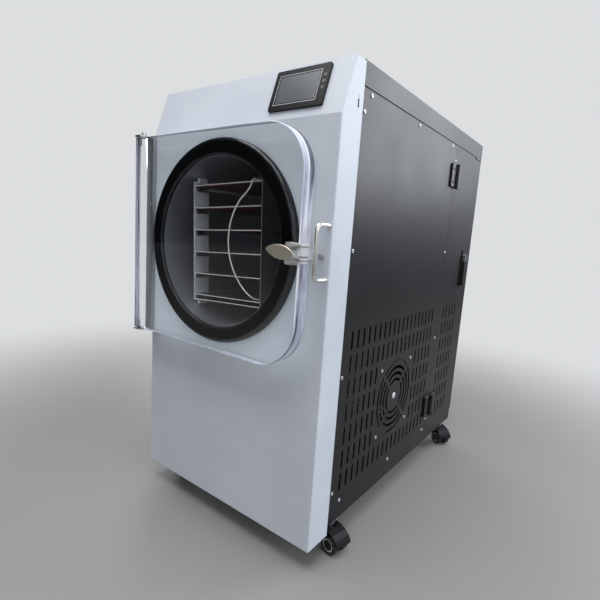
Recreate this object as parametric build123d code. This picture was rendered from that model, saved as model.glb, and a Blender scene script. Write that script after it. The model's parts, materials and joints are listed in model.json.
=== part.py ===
from build123d import *
import os
from math import atan2, cos, degrees, hypot, radians, sin, sqrt, tan

# Freeze dryer. Millimetres, +Z up, the front faces -Y, +X is the right-hand side seen from the front.
# Every part is drawn from a datum on the fascia's front face, on its centre line, at floor level. At the end
# all of them are moved together, so that the origin is the middle of the whole object's underside.

# ---- overall sizes
width = 600.0              # fascia, side to side
depth = 970.0              # fascia front face to rear panel
bay_top = 473.0            # floor to the rails that carry the chamber: the machine bay under it
head_room = 165.0          # from the chamber's jacket to the top of the cover

# ---- sheet metal
sheet = 1.5                # side, rear and top sheets
fascia_sheet = 2.0
fascia_bottom = 60.0
fascia_depth = 77.0        # how far its side flanges reach back
fascia_drop = 5.0          # its top edge is this far under the cover's
kink_drop = 122.0          # the face starts to lean back this far under the top
slope_set = 39.0           # how far back the leaning face ends
body_inset = 3.0           # the black body stands this far inside the fascia
seam = 1.0                 # gap between neighbouring sheets
cover_lip = 49.0           # how far the top cover's sides come down
cover_slot = 7.0           # open slot under the cover's sides
cover_slot_end = 61.0      # the slot stops this far before the rear face
panel_fold = 14.0          # the side sheets' top and bottom edges fold in this far

# ---- frame of welded tube
base_rail = 43.0           # height of the base rails
base_rail_width = 36.0
base_floor = 3.0           # sheet between the base rails
tube_wall = 2.0
post = 26.0                # square frame posts
frame_top = 24.0           # height of the frame's top rails
cradle_rail = 30.0         # height of the rails and beams that carry the chamber
cradle_gap = 34.0          # from those rails' underside to the jacket
touch = 0.5                # clearance between the frame and the sheets it carries

# ---- vacuum chamber
drum_x = -10.0
drum_radius = 200.0        # inside
drum_wall = 4.0
drum_rear_room = 350.0     # the drum is this much shorter than the cabinet
gasket_width = 41.0        # from the drum's inside to the gasket's outside
gasket_height = 17.0       # stands this far in front of the fascia
jacket_wall = 24.0
mouth_gap = 8.0            # fascia hole over the drum's outside

# ---- shelf rack
rack_side_room = 83.0      # between the rack's side and the drum, along the level diameter
rack_foot_room = 8.2       # the rack's corners stand this far inside the drum
rack_front = 20.0          # behind the fascia's face
rack_end_room = 150.0      # the rack is this much shorter than the drum
rack_roll = 2.6            # degrees the rack stands out of level in the drum
shelf_count = 6
shelf_sheet = 2.0
upright_width = 48.0
upright_sheet = 2.0
shelf_flange = 12.0
foot_thick = 3.0
mat_thick = 1.6
probe_radius = 1.8
probe_side = 25.0          # its clip, from the rack's side

# ---- clear door
door_thick = 35.0
door_side_over = 8.0       # its hinged edge stands this far outside the fascia's side
door_end_over = 14.5       # above and below the gasket
door_corner = 100.0
pin_inset = 10.0           # hinge pin, from the door's hinged edge
pin_radius = 5.0
running_gap = 0.08         # radial, on every pin that turns
ear_thick = 4.0
ear_gap = 2.0
ear_over = 3.0             # the ears reach this far past the door's end and face
strip_inset = 12.0         # hinge strip, from the fascia's side
strip_width = 26.0
strip_front = 11.0         # the hinge strip stands this far in front of the fascia
strip_sheet = 3.0

# ---- latch and keeper
keeper_inset = 8.0         # keeper, from the fascia's side
keeper_reach = gasket_height + 26.0
keeper_half = 55.0
keeper_radius = 5.0
latch_pin_gap = 17.0       # latch pin to keeper
latch_edge = 17.5          # latch pin to the door's edge
latch_drop = 3.0           # latch under the keeper's middle
latch_out = 12.0           # latch pin in front of the door's face
latch_rise = 28.0          # the paddle's face in front of the door's face
latch_tilt = 7.5           # degrees the paddle's tip stands up
claw_short = 2.0           # at rest the claw's toe stops this far before the keeper
claw_room = 5.0            # between the keeper and the toe once it is behind it

# ---- touchscreen and data port
screen_inset = 122.0       # its middle, from the fascia's side
screen_width = 142.0
screen_height = 94.0
screen_proud = 6.0
screen_up = 66.0           # its middle, measured up the leaning face
glass_width = 104.0
glass_height = 62.0
port_drop = 92.0           # its middle, under the cover's top
port_back = 58.0           # behind the fascia's front face

# ---- side panels
door_depth = 271.0         # the right-hand access door, from its seam to the rear
slot_length = 46.0
slot_width = 8.0
slot_pitch = 28.8
slot_row_pitch = 59.3
slot_rows = 7
slot_front = 45.0          # first slot, behind the body's front
slot_rear = 56.0           # least room behind the last slot
slot_low = 59.2            # lowest row's middle, over the panel's bottom
door_slot_front = 49.0
door_slot_pitch = 30.0
fan_ahead = 303.0          # fan's centre, in front of the access door's seam
fan_up = 207.0             # fan's centre, over the panel's bottom
fan_screw = 95.0           # half the spacing of the fan's screws
ring_radii = (49.0, 67.5, 86.0, 104.0)
ring_slot = 8.5
ring_web = 11.0
screw_radius = 5.0
screw_head = 2.2

# ---- black surface hinges of the access door
barrel_radius = 7.0
barrel_out = 7.5           # barrel's axis, outside the body's side
barrel_pin = 2.5

# ---- swing-handle lock on the access door
lock_rear = 80.0           # its middle, from the rear
lock_rise = 36.0           # the spindle's height over the lock's middle
lock_drop = 53.0           # its middle, under the chamber's axis
lock_plate = 4.0
lock_length = 136.0
lock_width = 30.0
lock_proud = 15.0
lock_shaft = 7.0
cam_reach = 34.0           # lock's axis to the striker's edge
cam_short = 3.0            # at rest the cam's tip stops this far before the striker

# ---- machine bay
fan_depth = 38.0
coil_depth = 50.0
coil_half = 118.0          # half the condenser's width
coil_pipe = 5.0            # radius of its pipes
coil_bend = 12.0           # how far they stand out of its end plates
compressor_x = 20.0
compressor_y = 300.0
pump_rear = 130.0          # vacuum pump's axis, from the rear
inlet_x = -200.0
inlet_z = 620.0
rocker_x = -130.0
drain_z = 240.0
valve_reach = 62.0         # drain spout's end behind the rear panel
drain_spout = 7.0          # radius of the spout that takes a hose

# ---- casters with two wheels each
wheel_radius = 25.0
caster_stack = 25.0        # from the wheels' top to the underside of the base
wheel_width = 17.0
wheel_gap = 14.0           # between the two wheels
axle_radius = 4.0
web_half = 5.0             # half the thickness of the fork's web between the wheels
race_radius = 16.0         # swivel race
pedal_x = 6.0              # brake pedal's pin, from the kingpin
pedal_rise = 6.0           # and over the wheels
caster_inset = 23.0        # kingpin, from the fascia's side
caster_front_y = 118.0
caster_rear = 70.0         # rear kingpins, from the rear
caster_trail = 26.0
caster_plate = 36.0
kingpin = 5.0
brake_angle = 5.0          # the pedal's underside is cut for this travel, in degrees; its joint allows 4.5
brake_gap = 3.8            # pedal to tyres at the end of that travel
# the way each caster trails, in degrees from +X
headings = {"front_left": -20.0, "front_right": -12.0, "rear_left": -28.0, "rear_right": -36.0}

# ---- worked out
caster_height = 2 * wheel_radius + caster_stack
pedal_z = 2 * wheel_radius + pedal_rise
half = width / 2
jacket_radius = drum_radius + drum_wall + jacket_wall
drum_z = bay_top + cradle_gap + jacket_radius
height = drum_z + jacket_radius + head_room
fascia_top = height - fascia_drop
kink_z = height - kink_drop
slope_angle = degrees(atan2(slope_set, fascia_top - kink_z))
body_half = half - body_inset
body_front = fascia_depth + 2.0
cover_bottom = height - cover_lip - cover_slot
panel_top = cover_bottom - seam
panel_bottom = caster_height + base_rail
inner_half = body_half - sheet
frame_half = inner_half - touch
frame_z = panel_top + frame_top
frame_rear = depth - sheet
side_seam = depth - door_depth
slot_first_y = body_front + slot_front
slot_first_z = panel_bottom + slot_low
slot_columns = int((side_seam - slot_rear - slot_first_y) / slot_pitch) + 1
door_slot_first_y = side_seam + door_slot_front
fan_y = side_seam - fan_ahead
fan_z = panel_bottom + fan_up
lock_y = depth - lock_rear
lock_z = drum_z - lock_drop
door_slot_columns = int((lock_y - lock_width / 2 - slot_width / 2 - door_slot_first_y) / door_slot_pitch) + 1
drum_length = depth - drum_rear_room
drum_nose = -gasket_height + 9.0
drum_tail = drum_nose + drum_length
gasket_outer = drum_radius + gasket_width
rack_half = drum_radius - rack_side_room
rack_half_height = sqrt((drum_radius - rack_foot_room) ** 2 - rack_half ** 2)
rack_depth = drum_length - rack_end_room
shelf_pitch = (2 * rack_half_height - 26.5) / (shelf_count - 1)
door_back = -gasket_height
door_front = door_back - door_thick
door_mid = (door_front + door_back) / 2
keeper_x = half - keeper_inset
keeper_z = drum_z
latch_pin_x = keeper_x - latch_pin_gap
latch_pin_y = door_front - latch_out
latch_z = keeper_z - latch_drop
paddle_front = door_front - latch_rise
door_left = -half - door_side_over
door_right = latch_pin_x - latch_edge
door_bottom = drum_z - gasket_outer - door_end_over
door_top = drum_z + gasket_outer + door_end_over
pin_x = door_left + pin_inset
screen_x = half - screen_inset
port_z = height - port_drop
lock_bore_z = lock_z + lock_rise
pump_y = depth - pump_rear
caster_x = half - caster_inset
caster_rear_y = depth - caster_rear
caster_half = wheel_gap / 2 + wheel_width
axle_half = caster_half - 4.0
parts = {}
spots = {}


def block(x0, x1, y0, y1, z0, z1):
    return Pos((x0 + x1) / 2, (y0 + y1) / 2, (z0 + z1) / 2) * Box(abs(x1 - x0), abs(y1 - y0), abs(z1 - z0))


def rod(axis, radius, start, length, a, b):
    """Cylinder along an axis: start is where it begins on that axis, a and b its place across it."""
    if axis == "x":
        return Pos(start + length / 2, a, b) * Rot(0, 90, 0) * Cylinder(radius, length)
    if axis == "y":
        return Pos(a, start + length / 2, b) * Rot(90, 0, 0) * Cylinder(radius, length)
    return Pos(a, b, start + length / 2) * Cylinder(radius, length)


def merge(items):
    items = list(items)
    total = items[0]
    if len(items) > 1:
        total = total.fuse(*items[1:])
    return total


def joined(items):
    return Compound(children=list(items))


def slab_yz(points, x0, x1):
    """A closed Y-Z outline given thickness from x0 to x1."""
    face = Plane.YZ * make_face(Polyline(*points, close=True))
    return Pos(x0, 0, 0) * extrude(face, amount=x1 - x0, dir=(1, 0, 0))


def slab_xy(points, z0, z1):
    face = make_face(Polyline(*points, close=True))
    return Pos(0, 0, z0) * extrude(face, amount=z1 - z0, dir=(0, 0, 1))


def slab_xz(points, y0, y1):
    face = Plane.XZ * make_face(Polyline(*points, close=True))
    return Pos(0, y0, 0) * extrude(face, amount=y1 - y0, dir=(0, 1, 0))


def ring_y(profile, x, z):
    """Turns an outline of (radius, y) points about an axis along Y."""
    pts = [(r, y) for r, y in profile]
    face = make_face(Polyline(*pts, close=True))
    return Pos(x, 0, z) * revolve(face, axis=Axis.Y)


def tube(points, radius, bends, bore=0.0):
    path = FilletPolyline(*points, radius=bends)
    start = Plane(origin=path @ 0, z_dir=path % 0)
    solid = sweep(start * Circle(radius), path=path)
    if bore:
        solid -= sweep(start * Circle(bore), path=path)
    return solid


def lead(points, radius):
    """A round lead along straight runs, each corner rounded as widely as its two runs allow."""
    path = [Vector(*p) for p in points]
    bends = []
    for a, b, c in zip(path, path[1:], path[2:]):
        turn = radians((b - a).get_angle(c - b))
        bends.append(0.45 * min((b - a).length, (c - b).length) / tan(turn / 2))
    print("lead bends", [round(r, 1) for r in bends])
    return tube(points, radius, bends)


def place(name, shape):
    parts[name] = shape


def spot(name, x, y, z):
    """A point of the finished object, such as one on a hinge's axis."""
    spots[name] = Vector(x, y, z)


# ---------------------------------------------------------------- fascia
def fascia_outline(inset, back):
    """The fascia's Y-Z outline, moved in by inset, ending at back."""
    lean = inset / cos(radians(slope_angle))
    top = fascia_top - inset
    run = slope_set / (fascia_top - kink_z)
    kink_in = kink_z - (lean - inset) / run if inset else kink_z
    top_y = slope_set + lean - run * inset if inset else slope_set
    low = fascia_bottom + inset
    return [(inset, low), (inset, kink_in), (top_y, top), (back, top), (back, low)]


def on_slope(x, up, out=0.0):
    """Location on the leaning face: x across, up along it, out along its outward normal; local Z points out."""
    a = radians(slope_angle)
    y = up * sin(a) - out * cos(a)
    z = kink_z + up * cos(a) + out * sin(a)
    return Location((x, y, z), (90 - slope_angle, 0, 0))


def make_fascia():
    outer = slab_yz(fascia_outline(0, fascia_depth), -half, half)
    long_edges = [e for e in outer.edges().filter_by(Axis.Z) if e.center().Y < 1]
    lean_edges = [e for e in outer.edges() if abs(e.center().X) > half - 1 and 1 < e.center().Y < slope_set
                  and kink_z < e.center().Z < fascia_top]
    outer = fillet(long_edges + lean_edges, 3.0)
    inner = slab_yz(fascia_outline(fascia_sheet, fascia_depth + 1), -half + fascia_sheet, half - fascia_sheet)
    shell = outer - inner
    mouth = drum_radius + drum_wall + mouth_gap
    shell -= rod("y", mouth, -5, 20, drum_x, drum_z)
    window = on_slope(screen_x, screen_up) * Box(screen_width - 16, screen_height - 16, 30)
    shell -= window
    shell -= block(half - 5, half + 1, port_back - 3, port_back + 3, port_z - 7.5, port_z + 9.5)
    # doubler behind the foot, where the base frame's nose bolts on
    foot = fascia_bottom + 6
    shell += block(-half + fascia_sheet, half - fascia_sheet, fascia_sheet, 2 * fascia_sheet, foot, foot + 34)
    place("front_fascia", shell)


# ---------------------------------------------------------------- chassis
def box_tube(axis, x0, x1, y0, y1, z0, z1):
    """A straight length of square tube, open at both ends."""
    shell = block(x0, x1, y0, y1, z0, z1)
    size = [abs(x1 - x0), abs(y1 - y0), abs(z1 - z0)]
    bore = [s + 2 if axis == a else s - 2 * tube_wall for a, s in zip("xyz", size)]
    return shell - Pos((x0 + x1) / 2, (y0 + y1) / 2, (z0 + z1) / 2) * Box(*bore)


def saddle(y, side):
    """Block that fills the corner between a cradle beam and the round jacket."""
    z = bay_top + cradle_rail
    near, far = drum_x + side * 92, drum_x + side * 168
    wedge = block(near, far, y, y + cradle_rail, z, z + 54)
    return wedge - rod("y", jacket_radius + 0.3, y - 1, cradle_rail + 2, drum_x, drum_z)


def make_chassis():
    """The frame: each tube and sheet is a solid of its own, butted and welded to the next."""
    z0, z1 = caster_height, panel_bottom
    rail = base_rail_width
    outer, inner = frame_half, frame_half - rail
    posts = (body_front, side_seam - post / 2, frame_rear - post)
    pieces = []
    # base: four rails, a floor sheet between them and a gusset in each corner over the casters
    for s in (-1, 1):
        pieces.append(box_tube("y", s * outer, s * inner, body_front, frame_rear, z0, z1))
    for y in (body_front, frame_rear - rail):
        pieces.append(box_tube("x", -inner, inner, y, y + rail, z0, z1))
    pieces.append(block(-inner, inner, body_front + rail, frame_rear - rail, z1 - base_floor, z1))
    for s in (-1, 1):
        for y, reach in ((body_front + rail, 30), (frame_rear - rail, -30)):
            pieces.append(block(s * inner, s * (inner - 30), y, y + reach, z0, z0 + 4))
    # nose that carries the fascia's foot
    pieces.append(block(-outer, outer, 2 * fascia_sheet, body_front, z0 + 2, z0 + 5))
    for s in (-1, 1):
        x1, x0 = s * outer, s * (outer - post)
        for y in posts:
            pieces.append(box_tube("z", x0, x1, y, y + post, z1, panel_top))
        pieces.append(box_tube("y", x0, x1, body_front, frame_rear, panel_top, frame_z))
        rail_z = (bay_top, bay_top + cradle_rail)
        pieces.append(box_tube("y", x0, x1, body_front + post, side_seam - post / 2, *rail_z))
        # brackets forward to the fascia's side flanges
        flange = s * (half - fascia_sheet)
        for share in (0.06, 0.46, 0.85):
            z = panel_bottom + share * (panel_top - panel_bottom)
            leaf = block(flange, flange - s * 3, 40, body_front, z, z + 40)
            pieces.append(leaf + block(flange, x0, body_front - 14, body_front, z, z + 40))
    low = frame_half - post
    for y in posts:
        pieces.append(box_tube("x", -low, low, y, y + post, panel_top, frame_z))
    for y in (body_front + 60, side_seam - 110):
        pieces.append(box_tube("x", -low, low, y, y + cradle_rail, bay_top, bay_top + cradle_rail))
        pieces += [saddle(y, s) for s in (-1, 1)]
    # striker that the lock's cam turns behind
    x, y, z = body_half - 11, lock_y + cam_reach, lock_bore_z
    striker = block(x, x + 3, y, frame_rear - post, z - 14, z + 14)
    pieces.append(striker + block(x - 14, x + 3, frame_rear - post - 3, frame_rear - post, z - 14, z + 14))
    place("chassis", joined(pieces))


def make_covers():
    top = block(-body_half, body_half, body_front, depth, height - sheet, height)
    for s in (-1, 1):
        lip = block(s * body_half, s * inner_half, body_front, depth, cover_bottom, height)
        slot = block(s * (body_half + 1), s * (inner_half - 1), body_front - 1, depth - cover_slot_end,
                     cover_bottom - 1, cover_bottom + cover_slot)
        slot_mid = cover_bottom + cover_slot / 2
        slot += rod("x", cover_slot / 2, s * body_half - 3, 6, depth - cover_slot_end, slot_mid)
        top += lip - slot
    top += block(-body_half, body_half, body_front, body_front + sheet, frame_z, height)
    top += block(-body_half, body_half, depth - sheet, depth, cover_bottom, height)
    upper = [e for e in top.edges().filter_by(Axis.Y) if e.center().Z > height - 0.1]
    top = fillet([e for e in upper if abs(e.center().X) > body_half - 1], 1.4)
    # spacers down to the frame
    for s in (-1, 1):
        for y in (body_front + 30, side_seam, depth - 60):
            top += block(s * (inner_half - 6), s * (inner_half - 22), y, y + 14, frame_z, height - sheet)
    place("top_cover", top)


def slots(columns, first_y, pitch, x, keep):
    """Cutting bodies for a field of upright slots through a sheet at x."""
    cuts = []
    reach, r = (slot_length - slot_width) / 2, slot_width / 2
    for i in range(columns):
        for j in range(slot_rows):
            y = first_y + i * pitch
            z = slot_first_z + j * slot_row_pitch
            if keep(y, z):
                cuts.append(block(x - 4, x + 4, y - r, y + r, z - reach, z + reach))
                for e in (-1, 1):
                    cuts.append(rod("x", r, x - 4, 8, y, z + e * reach))
    return cuts


def panel(side, y0, y1, z0=panel_bottom, z1=panel_top):
    """One side sheet, its top and bottom edges folded inwards between the frame's posts."""
    x1, x0 = side * body_half, side * (body_half - panel_fold)
    sheet_face = block(x1, side * inner_half, y0, y1, z0, z1)
    ends = [body_front + post + 2, side_seam - post / 2 - 2, side_seam + post / 2 + 2, frame_rear - post - 2]
    for a, b in (ends[:2], ends[2:]):
        lo, hi = max(a, y0), min(b, y1)
        if hi - lo > 1:
            for z in (z0, z1 - sheet):
                sheet_face += block(x1, x0, lo, hi, z, z + sheet)
    return sheet_face


def clear_of_fan(y, z):
    near = hypot(y - fan_y, z - fan_z) < ring_radii[-1] + ring_slot / 2 + 22
    corner = any(abs(y - fan_y - a * fan_screw) < 14 and abs(z - fan_z - b * fan_screw) < 34
                 for a in (-1, 1) for b in (-1, 1))
    return not near and not corner


def ring_cuts(x):
    cuts = []
    for r in ring_radii:
        ring = rod("x", r + ring_slot / 2, x - 4, 8, fan_y, fan_z)
        ring -= rod("x", r - ring_slot / 2, x - 5, 10, fan_y, fan_z)
        for turn in (45, -45):
            ring -= Pos(x, fan_y, fan_z) * Rot(turn, 0, 0) * Box(20, 2 * r + 30, ring_web)
        cuts += list(ring.solids())
    return cuts


def make_side_panels():
    y0 = body_front + seam
    for side, name in ((1, "side_panel_right"), (-1, "side_panel_left")):
        y1 = side_seam if side > 0 else frame_rear - 0.5
        face = panel(side, y0, y1)
        keep = clear_of_fan if side > 0 else (lambda y, z: True)
        cuts = slots(slot_columns, slot_first_y, slot_pitch, side * body_half, keep)
        if side > 0:
            cuts += ring_cuts(body_half)
        place(name, face.cut(*cuts))


def make_rear_panel():
    low, high = caster_height, panel_top
    sheet_face = block(-body_half, inner_half - seam, frame_rear, depth, low, high)
    cuts = []
    for i in range(12):
        for j in range(3):
            x, z = (i - 5.5) * 32, high - 171 - j * 62
            cuts.append(block(x - 4, x + 4, frame_rear - 2, depth + 4, z - 19, z + 19))
    cuts.append(block(inlet_x - 29, inlet_x + 29, frame_rear - 2, depth + 4, inlet_z - 24, inlet_z + 24))
    cuts.append(block(rocker_x - 13, rocker_x + 13, frame_rear - 2, depth + 4, inlet_z - 16, inlet_z + 16))
    cuts.append(rod("y", 14, frame_rear - 2, 8, inlet_x, drain_z))
    place("rear_panel", sheet_face.cut(*cuts))


# ---------------------------------------------------------------- right-hand access door
def hinge_leaf(side, z):
    """Half of a black surface hinge; side -1 is the cabinet's leaf, +1 the door's."""
    y0 = side_seam + seam / 2
    plate = block(body_half, body_half + 6, y0 + side * 8, y0 + side * 44, z - 36, z + 36)
    plate = fillet(plate.edges().filter_by(Axis.X), 5)
    plate = chamfer([e for e in plate.edges() if e.center().X > body_half + 5.9], 1.2)
    spans = [(z - 12, z + 12)] if side > 0 else [(z - 36, z - 12.5), (z + 12.5, z + 36)]
    for a, b in spans:
        barrel = rod("z", barrel_radius, a, b - a, body_half + barrel_out, y0)
        web = block(body_half + 0.5, body_half + 6, y0 + side * 2, y0 + side * 14, a, b)
        plate += barrel + web
    return plate


def make_access_door():
    y0, y1 = side_seam + seam, depth - 1.0
    face = panel(1, y0, y1, panel_bottom + seam, panel_top - seam)
    cuts = slots(door_slot_columns, door_slot_first_y, door_slot_pitch, body_half, lambda y, z: True)
    cuts.append(rod("x", lock_shaft + 3, body_half - 6, 12, lock_y, lock_bore_z))
    face = face.cut(*cuts)
    # stiffening channel inside the sheet
    face += block(inner_half - 12, inner_half, y0 + 26, y0 + 36, panel_bottom + 40, panel_top - 40)
    place("access_door", face)
    upper, lower = panel_top - 88, panel_bottom + 93
    pin_x, pin_y = body_half + barrel_out, side_seam + seam / 2
    fixed, moving = [], []
    for z in (upper, lower):
        bore = rod("z", barrel_pin + running_gap, z - 40, 80, pin_x, pin_y)
        relief = rod("z", barrel_radius + 0.4, z - 12.5, 25, pin_x, pin_y)
        relief_ends = Pos(0, 0, -24.5) * relief + Pos(0, 0, 24.5) * relief
        leaf = hinge_leaf(-1, z) - relief
        fixed.append(leaf - rod("z", barrel_pin, z - 40, 80, pin_x, pin_y))
        fixed.append(rod("z", barrel_pin, z - 37, 74, pin_x, pin_y))
        moving.append(hinge_leaf(1, z) - relief_ends - bore)
        for dy in (-26, 26):
            for dz in (-20, 20):
                head = rod("x", 4, body_half + 6, 2, pin_y + dy, z + dz)
                (fixed if dy < 0 else moving).append(head)
    place("access_hinge_leaves_fixed", joined(fixed))
    place("access_hinge_leaves_moving", joined(moving))
    spot("access_door", pin_x, pin_y, (upper + lower) / 2)


def make_lock():
    """Swing-handle lock: a base plate, a spindle that turns in it and a lever that lifts off it."""
    x, y, z = body_half, lock_y, lock_bore_z
    plate_top, wide, long = x + lock_plate, lock_width / 2, lock_length / 2
    base = block(x, plate_top, y - wide, y + wide, lock_z - long, lock_z + long)
    base = fillet(base.edges().filter_by(Axis.X), lock_width / 2 - 1)
    base = chamfer([e for e in base.edges() if e.center().X > plate_top - 0.1], 1.2)
    base += rod("x", lock_shaft + 2.6, x - sheet - 6, sheet + 7, y, z)
    base -= rod("x", lock_shaft + running_gap, x - 10, 30, y, z)
    place("lock_base", base)
    # spindle: shaft, a fork that carries the lever's pivot, and the cam inside the door
    floor, top = plate_top + 2.5, plate_top + 9
    fork = block(plate_top + 0.5, top, y - 12, y + 12, z - 12, z + 14)
    fork = fillet(fork.edges().filter_by(Axis.X), 5)
    fork -= block(floor, top + 1, y - 7.5, y + 7.5, z - 13, z + 15)
    cam = block(x - 16, x - 12, y - 9, y + cam_reach - cam_short, z - 9, z + 9)
    cam = fillet(cam.edges().filter_by(Axis.X), 6)
    pivot_x, pivot_z = plate_top + 6, z + 6
    spindle = merge([rod("x", lock_shaft, x - 16, lock_plate + 17, y, z), fork, cam])
    place("lock_spindle", spindle - rod("y", 2.2 + running_gap, y - 20, 40, pivot_x, pivot_z))
    foot = lock_z - 60
    lever = block(plate_top + 1.5, plate_top + 8, y - 7, y + 7, foot, pivot_z)
    lever = fillet([e for e in lever.edges().filter_by(Axis.X) if e.center().Z < foot + 10], 5)
    lever = chamfer([e for e in lever.edges() if e.center().X > plate_top + 7.9], 2.0)
    lever += rod("y", 3.0, y - 7, 14, pivot_x, pivot_z)
    lever -= block(plate_top, floor + 0.5, y - 8, y + 8, z - 13, pivot_z + 7)
    lever += rod("y", 2.2, y - 11.5, 23, pivot_x, pivot_z)
    # a toe that gives the fingers a hold
    lever += block(plate_top + 6, x + lock_proud, y - 7, y + 7, foot - 2, foot + 6)
    place("lock_lever", lever)
    spot("lock_spindle", x, y, z)
    spot("lock_lever", pivot_x, y, pivot_z)


# ---------------------------------------------------------------- chamber
def make_chamber():
    r0, r1 = drum_radius, drum_radius + drum_wall
    nose, tail = drum_nose, drum_tail
    outline = [(r0, nose), (r1, nose), (r1, tail), (60, tail + 42), (0, tail + 42), (0, tail + 38)]
    outline += [(58, tail + 38), (r0, tail - 2)]
    shell = ring_y(outline, drum_x, drum_z)
    port = rod("y", 20, tail + 36, 30, drum_x, drum_z)
    flange = rod("y", 27.5, tail + 62, 6, drum_x, drum_z)
    shell = shell + port + flange - rod("y", 17, tail + 30, 50, drum_x, drum_z)
    drain_y = tail - 90
    shell += rod("z", 9, drum_z - jacket_radius - 22, jacket_wall + 24, drum_x, drain_y)
    shell -= rod("z", 6.5, drum_z - jacket_radius - 36, 60, drum_x, drain_y)
    place("chamber_drum", shell)
    lining = [(r1 + 0.3, 14), (jacket_radius, 14), (jacket_radius, tail - 6), (r1 + 0.3, tail - 6)]
    jacket = ring_y(lining, drum_x, drum_z)
    place("insulation_jacket", jacket - rod("z", 9.5, drum_z - jacket_radius - 5, 40, drum_x, drain_y))
    lip, outer, seat = r0 + 1.8, gasket_outer, r1 + 0.4
    section = [(lip, nose - 0.3), (lip, door_back), (outer, door_back)]
    section += [(outer, 0), (seat, 0), (seat, nose - 0.3)]
    band = make_face(Polyline(*section, close=True))
    for corner, radius in ((outer, 8.0), (lip, 5.0)):
        band = fillet([band.vertices().sort_by_distance((corner, door_back, 0))[0]], radius)
    place("door_gasket", Pos(drum_x, 0, drum_z) * revolve(band, axis=Axis.Y))


def in_drum(shape):
    """Turns something drawn level about the drum's axis to the angle the rack stands at."""
    return Pos(drum_x, 0, drum_z) * Rot(0, -rack_roll, 0) * shape


def make_rack():
    hw, hh = rack_half, rack_half_height
    inner = hw - upright_sheet
    rear = rack_front + rack_depth
    reach = sqrt((drum_radius - 0.3) ** 2 - (hw - 1) ** 2)
    uprights = []
    for s in (-1, 1):
        for y in (rack_front, rear - upright_width):
            uprights.append(block(s * hw, s * inner, y, y + upright_width, -hh, hh))
            # feet that bear on the drum's wall
            for e in (-1, 1):
                uprights.append(block(s * hw, s * (hw - 14), y + 6, y + 42, e * (hh - foot_thick), e * hh))
                uprights.append(block(s * (hw - 1), s * (hw - 9), y + 12, y + 36, e * (hh - 1), e * reach))
    side_rails = [block(s * hw, s * inner, rack_front + 40, rear - 40, z, z + 14)
                  for s in (-1, 1) for z in (-hh + 4, hh - 18)]
    place("rack_uprights", in_drum(merge(uprights + side_rails)))
    low = -(shelf_count - 1) * shelf_pitch / 2 + 2
    heights = [low + i * shelf_pitch for i in range(shelf_count)]
    plates, mats, heads = [], [], []
    for z in heights:
        plate = block(-inner, inner, rack_front + 1, rear - 1, z, z + shelf_sheet)
        for s in (-1, 1):
            for y in (rack_front + 4, rear - upright_width + 4):
                plate += block(s * inner, s * (inner - 1.6), y, y + upright_width - 8, z - shelf_flange, z + 1)
                for dy in (8, 32):
                    heads.append(rod("x", 3.0, s * (inner - 1.6) - (1.8 if s > 0 else 0), 1.8, y + dy, z - 7))
        plates.append(plate)
        mats.append(block(-inner + 14, inner - 14, rack_front + 12, rear - 12, z - mat_thick, z))
    plates[0] += block(-inner, inner, rack_front + 1, rear - 1, -hh + foot_thick, -hh + foot_thick + 2)
    place("rack_shelves", in_drum(joined(plates)))
    place("heater_mats", in_drum(joined(mats)))
    place("rack_screws", in_drum(joined(heads)))
    make_probe(heights[-1] + shelf_sheet, heights[0] + shelf_sheet)


def make_probe(top, bottom):
    """Temperature probe: its lead bows down from a clip on the top shelf to the lowest one."""
    hang, r = rack_front - 6.0, probe_radius
    hold, tip_y, rest = rack_half - probe_side, rack_front + 26.0, bottom + 3.2
    over, fall = top + r + 2.5, top - bottom
    route = [(hold, tip_y, over), (hold, hang + 1, over), (hold - 4, hang, top - 12)]
    # the bow: how far in from the clip, and its share of the way down
    bow = [(18, 0.094), (39, 0.151), (57, 0.238), (71, 0.353), (77, 0.497), (71, 0.642), (55, 0.771), (32, 0.879)]
    for inward, share in bow:
        route.append((hold - inward, hang, top - share * fall))
    route += [(hold - 6, hang, bottom + 14), (hold + 2, rack_front + 8, rest), (hold + 2, tip_y, rest)]
    place("probe_lead", in_drum(lead(route, r)))
    clip = block(hold - 5, hold + 5, rack_front + 12, tip_y - 1, top, top + 2.2)
    for s in (-1, 1):
        clip += block(hold + s * (r + 0.4), hold + s * (r + 1.6), rack_front + 12, tip_y - 1, top, top + 7)
    probe = rod("y", 3.0, tip_y, 60, hold + 2, rest)
    place("probe_fittings", in_drum(joined([clip, probe])))


# ---------------------------------------------------------------- clear door
def make_door():
    slab = block(door_left, door_right, door_front, door_back, door_bottom, door_top)
    corners = [e for e in slab.edges().filter_by(Axis.Y) if e.center().X > door_right - 1]
    slab = fillet(corners, door_corner)
    rim = [e for e in slab.edges() if abs(e.center().Y - door_front) < 0.1 and e.center().X > door_left + 1]
    slab = chamfer(rim, 1.2)
    for z in (door_bottom - 1, door_top - 24):
        slab -= rod("z", pin_radius + running_gap, z, 25, pin_x, door_mid)
    for dz in (-15, 15):
        slab -= rod("y", 3.2, door_front - 1, 19, latch_pin_x - 33, latch_z + dz)
    place("door_panel", slab)
    spot("door", pin_x, door_mid, (door_bottom + door_top) / 2)


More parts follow.
